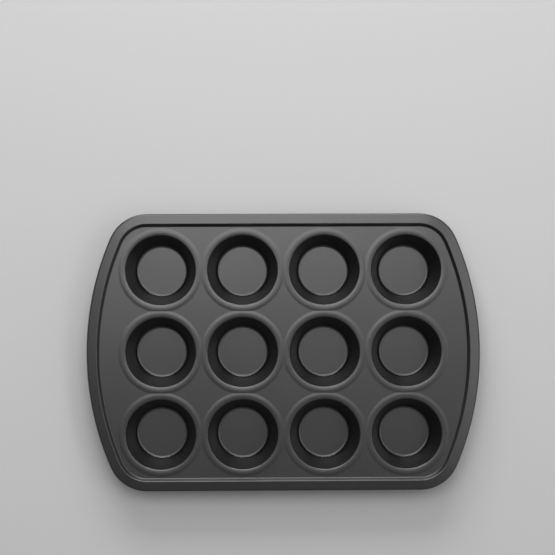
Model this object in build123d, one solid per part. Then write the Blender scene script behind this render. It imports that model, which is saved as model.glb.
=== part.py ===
from build123d import *

import math
import os

# Twelve-cup muffin tin in coated sheet steel with a wired edge. Millimetres.
# +Z up: the tin rests on its cup floors with the mouths up. X runs along the
# four-cup side and Y along the three-cup side. The origin is on the resting
# plane, in the middle of the cup grid.
#
# The real tin is drawn from one blank. Here the pressing is divided into the
# web, the border and the twelve cups, which meet face to face and don't
# overlap, so that each cup stays open on its own. The rim wire is a separate
# rod in the curled edge.

# ---- driving dimensions ----
columns, rows = 4, 3
pitch_x, pitch_y = 82.0, 82.1
sheet = 0.7  # thickness, coating included
cup_depth = 30.0  # web to cup floor, food side
web_top = cup_depth + sheet  # upper face of the flat between the cups

# cup section, radii of the upper (food) surface
floor_r = 25.9  # corner of floor and wall
mouth_r = 34.9  # corner of wall and lip
floor_fillet = 3.0
lip_fillet = 1.6

# low raised bead round each mouth; the cup ends on its crest
lip_rise = 0.0
bead_height = 0.25
crest_in_r, seam_r, crest_out_r, bead_foot_r = 37.6, 38.8, 39.6, 42.2
crest_fillet, foot_fillet = 16.0, 6.0

# web outline at the foot of the step: straight long sides, bowed short sides
web_half_x, web_half_y = 185.3, 127.0
side_arc_r = 276.7
corner_arc_r = 28.6

# border, measured outward from the outline and up from the web
border_in = -2.3  # where the web ends
step_foot_x = -1.4
step_height = 3.0
step_draft = 42.0  # degrees from vertical
step_foot_fillet, step_head_fillet = 1.0, 1.1
flange_fall = 7.0  # degrees, down and outward
border_width = 11.4  # outline to the outermost edge
wire_d = 2.6
wire_clearance = 0.05
curl_wrap = 285.0  # degrees that the sheet goes round the wire
wire_butt_gap = 2.0  # between the rod's two ends


# ---- sections of bent sheet, drawn in the XZ plane ----
def at(p):
    return (p[0], 0, p[1])


def unit(a, b):
    d = math.hypot(b[0] - a[0], b[1] - a[1])
    return ((b[0] - a[0]) / d, (b[1] - a[1]) / d)


def parallel(points, t):
    """The polyline parallel to points, a distance t to its right."""
    out = []
    for i, p in enumerate(points):
        u = unit(points[i - 1], p) if i else unit(p, points[1])
        v = unit(p, points[i + 1]) if i < len(points) - 1 else u
        nu, nv = (u[1], -u[0]), (v[1], -v[0])
        k = t / (1 + nu[0] * nv[0] + nu[1] * nv[1])
        out.append((p[0] + k * (nu[0] + nv[0]), p[1] + k * (nu[1] + nv[1])))
    return out


def turns(points):
    """+1 for each inner corner that turns left, -1 for one that turns right."""
    out = []
    for p, c, q in zip(points, points[1:], points[2:]):
        u, v = unit(p, c), unit(c, q)
        out.append(1 if u[0] * v[1] - u[1] * v[0] > 0 else -1)
    return out


def rounded(points, radii):
    """Edges along points, with a tangent arc at each inner corner."""
    edges, start = [], points[0]
    for p, c, q, r in zip(points, points[1:], points[2:], radii):
        u, v = unit(c, p), unit(c, q)
        half = math.acos(max(-1, min(1, u[0] * v[0] + u[1] * v[1]))) / 2
        cut = r / math.tan(half)
        a = (c[0] + u[0] * cut, c[1] + u[1] * cut)
        b = (c[0] + v[0] * cut, c[1] + v[1] * cut)
        w = (u[0] + v[0], u[1] + v[1])
        k = (r / math.sin(half) - r) / math.hypot(*w)
        m = (c[0] + w[0] * k, c[1] + w[1] * k)
        edges.append(Line(at(start), at(a)))
        edges.append(ThreePointArc(at(a), at(m), at(b)))
        start = b
    edges.append(Line(at(start), at(points[-1])))
    return edges


def strip(points, radii):
    """Upper and lower edges of the sheet; points is the upper line, left to right."""
    below = [r + sheet if s > 0 else r - sheet for r, s in zip(radii, turns(points))]
    return rounded(points, radii), rounded(parallel(points, sheet), below)


def sheet_face(points, radii):
    upper, lower = strip(points, radii)
    ends = [
        Line(at(points[0]), at(parallel(points, sheet)[0])),
        Line(at(points[-1]), at(parallel(points, sheet)[-1])),
    ]
    return make_face(Wire(upper + lower + ends))


# ---- one cup, from its axis to the crest of the bead ----
slope = (mouth_r - floor_r) / cup_depth
cup_face = sheet_face(
    [
        (0.0, sheet),
        (floor_r, sheet),
        (mouth_r + slope * lip_rise, web_top + lip_rise),
        (crest_in_r, web_top + bead_height),
        (seam_r, web_top + bead_height),
    ],
    [floor_fillet, lip_fillet, crest_fillet],
)
cup = revolve(cup_face, Axis.Z, 360)

# ---- outer half of the bead, which belongs to the web ----
ring_r = bead_foot_r + 0.35
ring_face = sheet_face(
    [
        (seam_r, web_top + bead_height),
        (crest_out_r, web_top + bead_height),
        (bead_foot_r, web_top),
        (ring_r, web_top),
    ],
    [crest_fillet, foot_fillet],
)
ring = revolve(ring_face, Axis.Z, 360)

# ---- outline of the web ----
side_x = web_half_x - side_arc_r  # centre of the bowed short side's arc
corner_y = web_half_y - corner_arc_r
corner_x = side_x + math.sqrt((side_arc_r - corner_arc_r) ** 2 - corner_y**2)
side_half_angle = math.atan2(corner_y, corner_x - side_x)


def outline_edges(d, z):
    """The outline moved outward by d: two lines, two bowed sides, four corners."""
    rs, rc, hy = side_arc_r + d, corner_arc_r + d, web_half_y + d
    tx = side_x + rs * math.cos(side_half_angle)
    ty = rs * math.sin(side_half_angle)
    m = (math.pi / 2 + side_half_angle) / 2
    mx, my = corner_x + rc * math.cos(m), corner_y + rc * math.sin(m)
    cx, sx = corner_x, side_x + rs
    return [
        Line((-cx, hy, z), (cx, hy, z)),
        ThreePointArc((cx, hy, z), (mx, my, z), (tx, ty, z)),
        ThreePointArc((tx, ty, z), (sx, 0, z), (tx, -ty, z)),
        ThreePointArc((tx, -ty, z), (mx, -my, z), (cx, -hy, z)),
        Line((cx, -hy, z), (-cx, -hy, z)),
        ThreePointArc((-cx, -hy, z), (-mx, -my, z), (-tx, -ty, z)),
        ThreePointArc((-tx, -ty, z), (-sx, 0, z), (-tx, ty, z)),
        ThreePointArc((-tx, ty, z), (-mx, my, z), (-cx, hy, z)),
    ]


def around(face):
    """A section carried round the outline, its x measured outward from it."""
    run = extrude(face, amount=corner_x, dir=(0, 1, 0), both=True)
    angle = math.degrees(side_half_angle)
    side = Rot(0, 0, -angle) * revolve(Pos(side_arc_r, 0, 0) * face, Axis.Z, 2 * angle)
    side = Pos(side_x, 0, 0) * side
    corner = Rot(0, 0, angle) * revolve(
        Pos(corner_arc_r, 0, 0) * face, Axis.Z, 90 - angle
    )
    corner = Pos(corner_x, corner_y, 0) * corner
    return [
        Pos(0, web_half_y, 0) * Rot(0, 0, 90) * run,
        Pos(0, -web_half_y, 0) * Rot(0, 0, -90) * run,
        side,
        Rot(0, 0, 180) * side,
        corner,
        mirror(corner, Plane.YZ),
        mirror(corner, Plane.XZ),
        Rot(0, 0, 180) * corner,
    ]


# ---- border: step, sloping flange and the edge curled round the wire ----
curl_in_r = wire_d / 2 + wire_clearance
curl_r = curl_in_r + sheet
fall = math.radians(flange_fall)
wire_x = border_width - curl_r
head_x = step_foot_x + step_height * math.tan(math.radians(step_draft))
head_z = web_top + step_height
flange_run = (wire_x + curl_r * math.sin(fall) - head_x) / math.cos(fall)
flange_end = (
    head_x + flange_run * math.cos(fall),
    head_z - flange_run * math.sin(fall),
)
wire_z = flange_end[1] - curl_r * math.cos(fall)
a0 = math.pi / 2 - fall
a1 = a0 - math.radians(curl_wrap)


def on_curl(r, a):
    return at((wire_x + r * math.cos(a), wire_z + r * math.sin(a)))


border_line = [
    (border_in, web_top),
    (step_foot_x, web_top),
    (head_x, head_z),
    flange_end,
]
upper, lower = strip(border_line, [step_foot_fillet, step_head_fillet])
middle = (a0 + a1) / 2
border_face = make_face(
    Wire(
        upper
        + lower
        + [
            Line(at(border_line[0]), at(parallel(border_line, sheet)[0])),
            ThreePointArc(on_curl(curl_r, a0), on_curl(curl_r, middle), on_curl(curl_r, a1)),
            Line(on_curl(curl_r, a1), on_curl(curl_in_r, a1)),
            ThreePointArc(
                on_curl(curl_in_r, a1), on_curl(curl_in_r, middle), on_curl(curl_in_r, a0)
            ),
        ]
    )
)
pieces = around(border_face)
border = pieces[0].fuse(*pieces[1:])

# ---- rim wire: a rod bent round inside the curl, its ends butted at the back ----
wire_face = make_face(
    Wire([Edge.make_circle(wire_d / 2, Plane((wire_x, 0, wire_z), z_dir=(0, -1, 0)))])
)
pieces = around(wire_face)
rim_wire = pieces[0].fuse(*pieces[1:])
rim_wire -= Pos(0, web_half_y + wire_x, wire_z) * Box(
    wire_butt_gap, 4 * wire_d, 4 * wire_d
)

# ---- web: the flat sheet between the cups, with the bead's outer slopes ----
centres = [
    ((i - (columns - 1) / 2) * pitch_x, ((rows - 1) / 2 - j) * pitch_y)
    for j in range(rows)
    for i in range(columns)
]
flat = extrude(make_face(Wire(outline_edges(border_in, web_top - sheet))), amount=sheet)
flat = flat - [
    Pos(x, y, web_top - 2) * extrude(Circle(ring_r - 0.1), amount=4) for x, y in centres
]
# neighbouring beads meet half way between two cups
rings = []
for j in range(rows):
    for i in range(columns):
        x, y = centres[j * columns + i]
        x0, x1 = -pitch_x / 2, pitch_x / 2
        y0, y1 = -pitch_y / 2, pitch_y / 2
        x0 = x0 if i else -ring_r - 5
        x1 = x1 if i < columns - 1 else ring_r + 5
        y1 = y1 if j else ring_r + 5
        y0 = y0 if j < rows - 1 else -ring_r - 5
        cell = Pos((x0 + x1) / 2, (y0 + y1) / 2, web_top) * Box(x1 - x0, y1 - y0, 10)
        rings.append(Pos(x, y, 0) * (ring & cell))
web = flat.fuse(*rings)

# ---- write one file for each node ----
nodes = {"web": web, "border": border, "rim_wire": rim_wire}
for n, (x, y) in enumerate(centres):
    nodes[f"cup_{'abc'[n // columns]}{n % columns + 1}"] = Pos(x, y, 0) * cup

os.makedirs("parts", exist_ok=True)
for name, shape in nodes.items():
    solids = shape.solids()
    assert len(solids) == 1 and solids[0].is_valid, name
    solid = solids[0]
    solid.label = name
    export_step(solid, f"parts/{name}.step")
print(len(nodes), "nodes, overall", (web_half_x + border_width) * 2,
      (web_half_y + border_width) * 2, round(head_z, 2))
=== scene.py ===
import math

import bpy
import numpy as np
from mathutils import Matrix, Vector


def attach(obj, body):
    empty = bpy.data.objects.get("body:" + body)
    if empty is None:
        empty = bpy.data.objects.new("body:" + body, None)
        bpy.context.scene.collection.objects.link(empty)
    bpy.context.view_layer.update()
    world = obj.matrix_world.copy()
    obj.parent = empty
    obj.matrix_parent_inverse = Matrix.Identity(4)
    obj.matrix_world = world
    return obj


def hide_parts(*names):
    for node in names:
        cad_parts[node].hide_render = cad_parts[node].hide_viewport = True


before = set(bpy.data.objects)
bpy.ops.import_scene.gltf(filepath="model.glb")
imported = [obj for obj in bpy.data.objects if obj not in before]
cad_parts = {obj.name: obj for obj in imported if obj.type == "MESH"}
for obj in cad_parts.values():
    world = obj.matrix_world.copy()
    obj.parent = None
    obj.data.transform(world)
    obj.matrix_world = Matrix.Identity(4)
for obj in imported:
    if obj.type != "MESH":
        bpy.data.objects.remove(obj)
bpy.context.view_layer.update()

# ---------------------------------------------------------------------------
# Dimensions of the tin in millimetres, the same as the CAD model's.
# ---------------------------------------------------------------------------
COLS, ROWS = 4, 3
PX, PY = 82.0, 82.1
SHEET = 0.7
DEPTH = 30.0
WEB = DEPTH + SHEET
FLOOR_R, MOUTH_R = 25.9, 34.9
FLOOR_FILLET, LIP_FILLET = 3.0, 1.6
LIP_RISE, BEAD = 0.0, 0.25
CREST_IN, SEAM, CREST_OUT, FOOT = 37.6, 38.8, 39.6, 42.2
CREST_FILLET, FOOT_FILLET = 16.0, 6.0
HALF_X, HALF_Y, SIDE_R, CORNER_R = 185.3, 127.0, 276.7, 28.6
BORDER_IN, STEP_FOOT, STEP_H, STEP_DRAFT = -2.3, -1.4, 3.0, 42.0
STEP_FOOT_FILLET, STEP_HEAD_FILLET = 1.0, 1.1
FALL, BORDER_W = 7.0, 11.4
WIRE_D, WIRE_GAP, WRAP = 2.6, 0.05, 285.0

SIDE_X = HALF_X - SIDE_R
CORNER_Y = HALF_Y - CORNER_R
CORNER_X = SIDE_X + math.sqrt((SIDE_R - CORNER_R) ** 2 - CORNER_Y**2)
SIDE_K = math.atan2(CORNER_Y, CORNER_X - SIDE_X)


# ---------------------------------------------------------------------------
# Sections of bent sheet: lists of (x, z, nx, nz), a point and its normal.
# ---------------------------------------------------------------------------
def unit(a, b):
    d = math.hypot(b[0] - a[0], b[1] - a[1])
    return ((b[0] - a[0]) / d, (b[1] - a[1]) / d)


def parallel(points, t):
    out = []
    for i, p in enumerate(points):
        u = unit(points[i - 1], p) if i else unit(p, points[1])
        v = unit(p, points[i + 1]) if i < len(points) - 1 else u
        nu, nv = (u[1], -u[0]), (v[1], -v[0])
        k = t / (1 + nu[0] * nv[0] + nu[1] * nv[1])
        out.append((p[0] + k * (nu[0] + nv[0]), p[1] + k * (nu[1] + nv[1])))
    return out


def section(points, radii, side, arc_steps, line_steps):
    """Points and normals along a polyline with rounded corners. side is +1 for
    the sheet's upper face (normals to the left of travel), -1 for the lower."""
    out = []

    def add(p, d):
        out.append((p[0], p[1], -side * d[1], side * d[0]))

    start = points[0]
    for i, (p, c, q) in enumerate(zip(points, points[1:], points[2:])):
        u, v = unit(p, c), unit(c, q)
        turn = math.atan2(u[0] * v[1] - u[1] * v[0], u[0] * v[0] + u[1] * v[1])
        cut = radii[i] * math.tan(abs(turn) / 2)
        a = (c[0] - u[0] * cut, c[1] - u[1] * cut)
        n = line_steps[i]
        for s in range(n):
            f = s / n
            add((start[0] + (a[0] - start[0]) * f, start[1] + (a[1] - start[1]) * f), u)
        sgn = 1 if turn > 0 else -1
        centre = (a[0] - sgn * u[1] * radii[i], a[1] + sgn * u[0] * radii[i])
        m = arc_steps[i]
        for s in range(m):
            t = turn * s / m
            ct, st = math.cos(t), math.sin(t)
            rx, rz = a[0] - centre[0], a[1] - centre[1]
            add(
                (centre[0] + rx * ct - rz * st, centre[1] + rx * st + rz * ct),
                (u[0] * ct - u[1] * st, u[0] * st + u[1] * ct),
            )
        start = (c[0] + v[0] * cut, c[1] + v[1] * cut)
    d = unit(points[-2], points[-1])
    n = line_steps[-1]
    for s in range(n + 1):
        f = s / n
        add((start[0] + (points[-1][0] - start[0]) * f, start[1] + (points[-1][1] - start[1]) * f), d)
    return out


def below(points, radii):
    lower = []
    for i, r in enumerate(radii):
        u, v = unit(points[i], points[i + 1]), unit(points[i + 1], points[i + 2])
        lower.append(r + SHEET if u[0] * v[1] - u[1] * v[0] > 0 else r - SHEET)
    return parallel(points, SHEET), lower


tan_wall = (MOUTH_R - FLOOR_R) / DEPTH
CUP_LINE = [
    (0.0, SHEET),
    (FLOOR_R, SHEET),
    (MOUTH_R + tan_wall * LIP_RISE, WEB + LIP_RISE),
    (CREST_IN, WEB + BEAD),
    (SEAM, WEB + BEAD),
]
CUP_RADII = [FLOOR_FILLET, LIP_FILLET, CREST_FILLET]
RING_LINE = [(SEAM, WEB + BEAD), (CREST_OUT, WEB + BEAD), (FOOT, WEB), (FOOT + 30, WEB)]
RING_RADII = [CREST_FILLET, FOOT_FILLET]

cup_top = section(CUP_LINE, CUP_RADII, 1, [9, 9, 3], [6, 7, 2, 1])
cup_under = section(*below(CUP_LINE, CUP_RADII), -1, [7, 5, 2], [4, 5, 2, 1])
ring_top = section(RING_LINE, RING_RADII, 1, [16, 16], [8, 16, 2])
ring_under = section(*below(RING_LINE, RING_RADII), -1, [16, 16], [8, 16, 2])


def height(table, r):
    """Height and normal of a section at the radii r, by interpolation."""
    t = np.array(table)
    z = np.interp(r, t[:, 0], t[:, 1])
    nx = np.interp(r, t[:, 0], t[:, 2])
    nz = np.interp(r, t[:, 0], t[:, 3])
    return z, nx, nz


# border section, x measured outward from the outline
curl_in = WIRE_D / 2 + WIRE_GAP
curl_out = curl_in + SHEET
fall = math.radians(FALL)
wire_x = BORDER_W - curl_out
head_x = STEP_FOOT + STEP_H * math.tan(math.radians(STEP_DRAFT))
head_z = WEB + STEP_H
run = (wire_x + curl_out * math.sin(fall) - head_x) / math.cos(fall)
flange_end = (head_x + run * math.cos(fall), head_z - run * math.sin(fall))
wire_z = flange_end[1] - curl_out * math.cos(fall)
BORDER_LINE = [(BORDER_IN, WEB), (STEP_FOOT, WEB), (head_x, head_z), flange_end]
BORDER_RADII = [STEP_FOOT_FILLET, STEP_HEAD_FILLET]
a0 = math.pi / 2 - fall
a1 = a0 - math.radians(WRAP)
upper = section(BORDER_LINE, BORDER_RADII, 1, [7, 7], [2, 3, 8])
outer = [
    (wire_x + curl_out * math.cos(a), wire_z + curl_out * math.sin(a), math.cos(a), math.sin(a))
    for a in np.linspace(a0, a1, 29)
]
cap_n = (math.sin(a1), -math.cos(a1))
cap = [
    (wire_x + r * math.cos(a1), wire_z + r * math.sin(a1), cap_n[0], cap_n[1])
    for r in (curl_out, curl_in)
]
inner = [
    (wire_x + curl_in * math.cos(a), wire_z + curl_in * math.sin(a), -math.cos(a), -math.sin(a))
    for a in np.linspace(a1, a0, 19)
]
lower = section(*below(BORDER_LINE, BORDER_RADII), -1, [5, 5], [2, 2, 5])[::-1]
BORDER = [upper + outer[1:], cap, inner, lower]  # sharp corners between the groups


# ---------------------------------------------------------------------------
# Outline of the web
# ---------------------------------------------------------------------------
def outline(x, y):
    """Signed distance from the outline, outside positive, and its outward normal."""
    sx, sy = (1 if x >= 0 else -1), (1 if y >= 0 else -1)
    x, y = abs(x), abs(y)
    if math.atan2(y, x - SIDE_X) <= SIDE_K:
        c, r = (SIDE_X, 0.0), SIDE_R
    elif x > CORNER_X:
        c, r = (CORNER_X, CORNER_Y), CORNER_R
    else:
        return y - HALF_Y, (0.0, sy)
    d = math.hypot(x - c[0], y - c[1])
    return d - r, (sx * (x - c[0]) / d, sy * (y - c[1]) / d)


def to_outline(cx, cy, angle, level=BORDER_IN):
    """The distance along a ray to the outline moved outward by level."""
    ux, uy = math.cos(angle), math.sin(angle)
    lo, hi = 30.0, 160.0
    for _ in range(60):
        mid = (lo + hi) / 2
        if outline(cx + ux * mid, cy + uy * mid)[0] < level:
            lo = mid
        else:
            hi = mid
    return lo


# ---------------------------------------------------------------------------
# One continuous skin for the whole pressing
# ---------------------------------------------------------------------------
class Skin:
    def __init__(self):
        self.key, self.co, self.no, self.wear, self.faces = {}, [], [], [], []

    def vertex(self, x, y, z, n, group, wear):
        k = (round(x, 3), round(y, 3), round(z, 3), group)
        i = self.key.get(k)
        if i is None:
            i = self.key[k] = len(self.co)
            self.co.append((x, y, z))
            self.no.append([0.0, 0.0, 0.0])
            self.wear.append(wear)
        for a in range(3):
            self.no[i][a] += n[a]
        return i

    def grid(self, rows, closed):
        """Quads between rows of vertex numbers."""
        for a, b in zip(rows, rows[1:]):
            n = len(a)
            for i in range(n if closed else n - 1):
                j = (i + 1) % n
                ring = []
                for v in (a[i], a[j], b[j], b[i]):
                    if v not in ring:
                        ring.append(v)
                if len(ring) > 2:
                    self.faces.append(ring)

    def build(self, name):
        co, no = np.array(self.co), np.array(self.no)
        no /= np.linalg.norm(no, axis=1)[:, None]
        faces = []
        for f in self.faces:
            p = co[f]
            g = np.cross(p[1] - p[0], p[2] - p[0])
            if len(f) == 4:
                g = g + np.cross(p[2] - p[0], p[3] - p[0])
            faces.append(f if g @ no[f].sum(axis=0) > 0 else f[::-1])
        mesh = bpy.data.meshes.new(name)
        mesh.from_pydata((co * 0.001).tolist(), [], faces)
        mesh.validate()
        mesh.shade_smooth()
        mesh.normals_split_custom_set_from_vertices(no.tolist())
        layer = mesh.attributes.new("wear", "FLOAT", "POINT")
        layer.data.foreach_set("value", np.array(self.wear, dtype=np.float32))
        obj = bpy.data.objects.new(name, mesh)
        bpy.context.scene.collection.objects.link(obj)
        return obj


skin = Skin()
rim_points = {}


def cell_angles(i, j, cx, cy):
    """Rays round a cup: (angle, distance to the edge of its cell, on the border?)"""
    exterior = {"R": i == COLS - 1, "T": j == 0, "L": i == 0, "B": j == ROWS - 1}
    corner = {}
    for name, (a, b) in {"RB": ("R", "B"), "RT": ("R", "T"), "LT": ("L", "T"), "LB": ("L", "B")}.items():
        sx = 1 if a == "R" else -1
        sy = 1 if b == "T" else -1
        if exterior[a] and exterior[b]:
            corner[name] = None
        elif exterior[a]:
            y = cy + sy * PY / 2
            x = sx * (SIDE_X + math.sqrt((SIDE_R + BORDER_IN) ** 2 - y * y))
            corner[name] = (x - cx, sy * PY / 2)
        elif exterior[b]:
            corner[name] = (sx * PX / 2, sy * (HALF_Y + BORDER_IN) - cy)
        else:
            corner[name] = (sx * PX / 2, sy * PY / 2)
    sides = [("RB", "R", "RT"), ("RT", "T", "LT"), ("LT", "L", "LB"), ("LB", "B", "RB")]
    # start at a corner that exists
    for k in range(4):
        if corner[sides[k][0]] is not None:
            sides = sides[k:] + sides[:k]
            break
    rays, k = [], 0
    while k < 4:
        first, side, last = sides[k]
        if exterior[side]:
            while corner[last] is None:
                k += 1
                last = sides[k][2]
        p, q = corner[first], corner[last]
        b0, b1 = math.atan2(p[1], p[0]), math.atan2(q[1], q[0])
        while b1 <= b0:
            b1 += 2 * math.pi
        n = 20 if not exterior[side] else max(20, round((b1 - b0) / math.radians(3.9)))
        for s in range(n):
            b = b0 + (b1 - b0) * s / n
            if exterior[side]:
                d = to_outline(cx, cy, b) if s else math.hypot(*p)
            else:
                c, t = math.cos(b), math.sin(b)
                d = (PX / 2) / abs(c) if side in "RL" else (PY / 2) / abs(t)
            rays.append((b, d, exterior[side] or (s == 0 and exterior[sides[k - 1][1]])))
        k += 1
    return rays


for j in range(ROWS):
    for i in range(COLS):
        cx, cy = (i - (COLS - 1) / 2) * PX, ((ROWS - 1) / 2 - j) * PY
        rays = cell_angles(i, j, cx, cy)
        ang = np.array([r[0] for r in rays])
        reach = np.array([r[1] for r in rays])
        cos, sin = np.cos(ang), np.sin(ang)
        for table, ring, tag in ((cup_top, ring_top, "u"), (cup_under, ring_under, "l")):
            rows = []
            for r, z, nr, nz in table:
                worn = 0.0
                if tag == "u":
                    worn = max(0.0, 1 - abs(r - 35.9) / 1.3) if z > WEB - 1.5 else 0.0
                if r < 1e-6:
                    v = skin.vertex(cx, cy, z, (0, 0, nz), tag, 0.0)
                    rows.append([v] * len(ang))
                    continue
                rows.append([
                    skin.vertex(cx + r * c, cy + r * s, z, (nr * c, nr * s, nz), tag, worn)
                    for c, s in zip(cos, sin)
                ])
            # the bead's outer slope, then the flat, out to the edge of the cell
            near = np.minimum(FOOT + 0.4, SEAM + 0.93 * (reach - SEAM))
            stations = [SEAM + (near - SEAM) * f for f in np.linspace(0, 1, 13)[1:]]
            stations += [near + (reach - near) * f for f in (0.34, 0.67, 1.0)]
            for st in stations:
                z, nr, nz = height(ring, st)
                rows.append([
                    skin.vertex(cx + st[k] * cos[k], cy + st[k] * sin[k], z[k],
                                (nr[k] * cos[k], nr[k] * sin[k], nz[k]), tag, 0.0)
                    for k in range(len(ang))
                ])
            skin.grid(rows, True)
        for b, d, on in rays:
            if on:
                x, y = cx + d * math.cos(b), cy + d * math.sin(b)
                rim_points[(round(x, 3), round(y, 3))] = (x, y)

loop = sorted(rim_points.values(), key=lambda p: math.atan2(p[1], p[0]))
off = [abs(outline(x, y)[0] - BORDER_IN) for x, y in loop]
assert max(off) < 0.01, max(off)
normals = [outline(x, y)[1] for x, y in loop]
for g, group in enumerate(BORDER):
    tag = {0: "u", 3: "l"}.get(g, f"g{g}")
    rows = []
    for d, z, nd, nz in group:
        worn = 0.0
        if g == 0:
            worn = 0.8 * max(0.0, 1 - abs(d - BORDER_W) / 1.3) if z > wire_z - 0.6 else 0.0
            worn = max(worn, 0.6 * max(0.0, 1 - abs(d - head_x) / 0.9)) if z > WEB + 2 else worn
        rows.append([
            skin.vertex(x + n[0] * (d - BORDER_IN), y + n[1] * (d - BORDER_IN), z,
                        (nd * n[0], nd * n[1], nz), tag, worn)
            for (x, y), n in zip(loop, normals)
        ])
    skin.grid(rows, True)
pressing = skin.build("pressed_tin")
print("pressing:", len(pressing.data.vertices), "vertices", len(pressing.data.polygons), "faces")

cups = [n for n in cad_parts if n.startswith("cup_")]
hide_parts("web", "border", *cups)
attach(pressing, "root")


# ---------------------------------------------------------------------------
# Materials
# ---------------------------------------------------------------------------
def new_material(name):
    m = bpy.data.materials.new(name)
    m.use_nodes = True
    t = m.node_tree
    t.nodes.clear()
    out = t.nodes.new("ShaderNodeOutputMaterial")
    bsdf = t.nodes.new("ShaderNodeBsdfPrincipled")
    t.links.new(bsdf.outputs["BSDF"], out.inputs["Surface"])
    return m, t, bsdf


def node(t, kind, **values):
    n = t.nodes.new(kind)
    for k, v in values.items():
        if k in n.inputs:
            n.inputs[k].default_value = v
        else:
            setattr(n, k, v)
    return n


def coated_steel():
    m, t, bsdf = new_material("nonstick_coating")
    link = t.links.new
    where = node(t, "ShaderNodeTexCoord")
    # broad cloudy variation in the sprayed film
    cloud = node(t, "ShaderNodeTexNoise", Scale=14.0, Detail=4.0, Roughness=0.55)
    link(where.outputs["Object"], cloud.inputs["Vector"])
    # fine speckle of the film
    speck = node(t, "ShaderNodeTexNoise", Scale=1500.0, Detail=2.0, Roughness=0.6)
    link(where.outputs["Object"], speck.inputs["Vector"])
    wear = node(t, "ShaderNodeAttribute", attribute_name="wear")
    patch = node(t, "ShaderNodeTexNoise", Scale=160.0, Detail=5.0, Roughness=0.7)
    link(where.outputs["Object"], patch.inputs["Vector"])
    worn = node(t, "ShaderNodeMath", operation="MULTIPLY")
    link(wear.outputs["Fac"], worn.inputs[0])
    link(patch.outputs["Fac"], worn.inputs[1])

    tone = node(t, "ShaderNodeValToRGB")
    tone.color_ramp.elements[0].position = 0.35
    tone.color_ramp.elements[0].color = (0.0026, 0.0026, 0.0028, 1)
    tone.color_ramp.elements[1].position = 0.68
    tone.color_ramp.elements[1].color = (0.0040, 0.0040, 0.0042, 1)
    link(cloud.outputs["Fac"], tone.inputs["Fac"])
    dots = node(t, "ShaderNodeMapRange")
    dots.inputs["From Min"].default_value = 0.62
    dots.inputs["From Max"].default_value = 0.78
    dots.inputs["To Max"].default_value = 0.35
    link(speck.outputs["Fac"], dots.inputs["Value"])
    mix = node(t, "ShaderNodeMix", data_type="RGBA")
    link(dots.outputs["Result"], mix.inputs["Factor"])
    link(tone.outputs["Color"], mix.inputs[6])
    mix.inputs[7].default_value = (0.012, 0.012, 0.0125, 1)
    rub = node(t, "ShaderNodeMix", data_type="RGBA")
    link(worn.outputs[0], rub.inputs["Factor"])
    link(mix.outputs[2], rub.inputs[6])
    rub.inputs[7].default_value = (0.02, 0.02, 0.0205, 1)
    link(rub.outputs[2], bsdf.inputs["Base Color"])

    rough = node(t, "ShaderNodeMapRange")
    rough.inputs["From Min"].default_value = 0.3
    rough.inputs["From Max"].default_value = 0.7
    rough.inputs["To Min"].default_value = 0.31
    rough.inputs["To Max"].default_value = 0.35
    link(cloud.outputs["Fac"], rough.inputs["Value"])
    rough2 = node(t, "ShaderNodeMath", operation="MULTIPLY_ADD")
    link(worn.outputs[0], rough2.inputs[0])
    rough2.inputs[1].default_value = -0.1
    link(rough.outputs["Result"], rough2.inputs[2])
    link(rough2.outputs[0], bsdf.inputs["Roughness"])
    bsdf.inputs["Metallic"].default_value = 0.0
    bsdf.inputs["IOR"].default_value = 1.85
    bsdf.inputs["Specular IOR Level"].default_value = 0.5

    # orange peel of the film over a faint waviness of the drawn sheet
    peel = node(t, "ShaderNodeTexNoise", Scale=700.0, Detail=2.0, Roughness=0.5)
    link(where.outputs["Object"], peel.inputs["Vector"])
    b1 = node(t, "ShaderNodeBump", Strength=0.08, Distance=0.00012)
    link(peel.outputs["Fac"], b1.inputs["Height"])
    sag = node(t, "ShaderNodeTexNoise", Scale=15.0, Detail=0.0)
    link(where.outputs["Object"], sag.inputs["Vector"])
    b2 = node(t, "ShaderNodeBump", Strength=0.5, Distance=0.0006)
    link(sag.outputs["Fac"], b2.inputs["Height"])
    link(b1.outputs["Normal"], b2.inputs["Normal"])
    link(b2.outputs["Normal"], bsdf.inputs["Normal"])
    return m


def wire_steel():
    m, t, bsdf = new_material("drawn_wire")
    link = t.links.new
    where = node(t, "ShaderNodeTexCoord")
    grain = node(t, "ShaderNodeTexNoise", Scale=900.0, Detail=3.0, Roughness=0.6)
    link(where.outputs["Object"], grain.inputs["Vector"])
    tone = node(t, "ShaderNodeValToRGB")
    tone.color_ramp.elements[0].color = (0.16, 0.155, 0.15, 1)
    tone.color_ramp.elements[1].color = (0.34, 0.335, 0.33, 1)
    link(grain.outputs["Fac"], tone.inputs["Fac"])
    link(tone.outputs["Color"], bsdf.inputs["Base Color"])
    rough = node(t, "ShaderNodeMapRange")
    rough.inputs["To Min"].default_value = 0.3
    rough.inputs["To Max"].default_value = 0.55
    link(grain.outputs["Fac"], rough.inputs["Value"])
    link(rough.outputs["Result"], bsdf.inputs["Roughness"])
    bsdf.inputs["Metallic"].default_value = 0.95
    bump = node(t, "ShaderNodeBump", Strength=0.2, Distance=0.00005)
    link(grain.outputs["Fac"], bump.inputs["Height"])
    link(bump.outputs["Normal"], bsdf.inputs["Normal"])
    return m


coat = coated_steel()
pressing.data.materials.append(coat)
wire_mat = wire_steel()
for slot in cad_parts["rim_wire"].material_slots:
    slot.material = wire_mat
for name in ["web", "border", *cups]:
    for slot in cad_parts[name].material_slots:
        slot.material = coat


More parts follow.
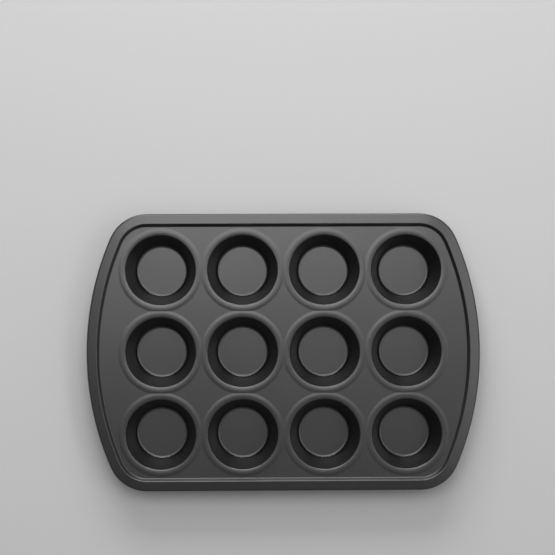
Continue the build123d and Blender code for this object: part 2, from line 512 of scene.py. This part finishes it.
# ---------------------------------------------------------------------------
# Floor, light and camera
# ---------------------------------------------------------------------------
floor_mesh = bpy.data.meshes.new("studio_floor")
F = 6.0
floor_mesh.from_pydata([(-F, -F, 0), (F, -F, 0), (F, F, 0), (-F, F, 0)], [], [(0, 1, 2, 3)])
floor = bpy.data.objects.new("studio_floor", floor_mesh)
bpy.context.scene.collection.objects.link(floor)
fm, ft, fb = new_material("pale_floor")
fb.inputs["Base Color"].default_value = (0.66, 0.66, 0.66, 1)
fb.inputs["Roughness"].default_value = 0.9
floor_mesh.materials.append(fm)

# a pale round backdrop that glows with its own emission, dimmer low down as painted shade,
# which the camera sees in the low views; it takes no part in the light on the tin
ring, levels, R_BACK = 96, 12, 3.2
points, quads = [], []
for k in range(levels + 1):
    t = math.pi / 2 * min(1.0, k / (levels - 2))
    cove = R_BACK - 0.5 + 0.5 * math.sin(t)
    up = 0.5 * (1 - math.cos(t)) + (1.6 * (k - levels + 2) if k > levels - 2 else 0.0)
    for a in range(ring):
        b = 2 * math.pi * a / ring
        points.append((cove * math.cos(b), cove * math.sin(b), up + 0.001))
for k in range(levels):
    for a in range(ring):
        c = (a + 1) % ring
        quads.append((k * ring + a, k * ring + c, (k + 1) * ring + c, (k + 1) * ring + a))
back_mesh = bpy.data.meshes.new("backdrop")
back_mesh.from_pydata(points, [], quads)
back_mesh.shade_smooth()
backdrop = bpy.data.objects.new("backdrop", back_mesh)
bpy.context.scene.collection.objects.link(backdrop)
bm, bt, bb = new_material("pale_backdrop")
bb.inputs["Base Color"].default_value = (0.0, 0.0, 0.0, 1)
bb.inputs["Specular IOR Level"].default_value = 0.0
bb.inputs["Emission Color"].default_value = (1.0, 1.0, 1.0, 1)
where = bt.nodes.new("ShaderNodeTexCoord")
rise = bt.nodes.new("ShaderNodeSeparateXYZ")
bt.links.new(where.outputs["Object"], rise.inputs[0])
# emission strength rises with height: painted shade, darker at the foot of the backdrop next to the
# floor
painted_shade_glow = bt.nodes.new("ShaderNodeMapRange")
painted_shade_glow.inputs["From Max"].default_value = 0.9
painted_shade_glow.inputs["To Min"].default_value = 0.44
painted_shade_glow.inputs["To Max"].default_value = 0.62
bt.links.new(rise.outputs["Z"], painted_shade_glow.inputs["Value"])
bt.links.new(painted_shade_glow.outputs["Result"], bb.inputs["Emission Strength"])
back_mesh.materials.append(bm)
backdrop.visible_diffuse = False
backdrop.visible_glossy = False
backdrop.visible_transmission = False
backdrop.visible_shadow = False

# the room is even, and darker low down on the side away from the window
world = bpy.data.worlds.new("studio")
world.use_nodes = True
wt = world.node_tree
back = wt.nodes["Background"]
back.inputs["Color"].default_value = (1.0, 1.0, 1.0, 1)
way = wt.nodes.new("ShaderNodeTexCoord")
toward = wt.nodes.new("ShaderNodeVectorMath")
toward.operation = "DOT_PRODUCT"
toward.inputs[1].default_value = (0.6, 0.8, 0.0)
wt.links.new(way.outputs["Generated"], toward.inputs[0])
fade = wt.nodes.new("ShaderNodeMapRange")
fade.inputs["From Min"].default_value = -0.8
fade.inputs["From Max"].default_value = -0.15
fade.inputs["To Min"].default_value = 0.09
fade.inputs["To Max"].default_value = 0.33
wt.links.new(toward.outputs["Value"], fade.inputs["Value"])
wt.links.new(fade.outputs["Result"], back.inputs["Strength"])
bpy.context.scene.world = world


def softbox(name, place, aim, size_x, size_y, watts, colour=(1, 1, 1)):
    light = bpy.data.lights.new(name, "AREA")
    light.shape = "RECTANGLE"
    light.size, light.size_y = size_x, size_y
    light.energy = watts
    light.color = colour
    o = bpy.data.objects.new(name, light)
    o.location = place
    o.rotation_euler = (Vector(aim) - Vector(place)).to_track_quat("-Z", "Y").to_euler()
    bpy.context.scene.collection.objects.link(o)
    return o


# soft light overhead, reaching away from the camera towards +Y
softbox("key", (-0.12, 0.455, 1.57), (-0.12, 0.2135, 0), 1.1, 0.658, 6.3)
softbox("middle", (-0.12, 1.05, 1.405), (-0.12, 0.46, 0), 1.1, 0.542, 1.4)
softbox("window", (-0.1, 1.75, 0.95), (0, 0, 0), 1.6, 0.8, 22.0)
softbox("right", (0.9, 0.12, 1.36), (0.15, 0, 0), 1.0, 0.3, 2.6)

# camera: the view is almost square on to the tin's face
FOCAL, WIDTH = 1535.0, 555.0
w = Vector([math.radians(a) for a in (-1.12, -0.96, -0.21)])
R = Matrix.Rotation(w.length, 3, w.normalized())
S = Matrix.Diagonal((1.0, -1.0, -1.0))
look = S @ R @ S  # world to camera, both with y up
T = Vector((6.15, -74.45, -1535.0))
centre = Vector((0.0, 0.0, WEB))
cam_data = bpy.data.cameras.new("camera")
cam_data.sensor_width = 36.0
cam_data.lens = 36.0 * FOCAL / WIDTH
cam_data.clip_end = 50.0
cam = bpy.data.objects.new("camera", cam_data)
place = (centre - look.transposed() @ T) * 0.001
cam.matrix_world = Matrix.Translation(place) @ look.transposed().to_4x4()
bpy.context.scene.collection.objects.link(cam)
bpy.context.scene.camera = cam
bpy.context.scene.view_settings.view_transform = "Standard"
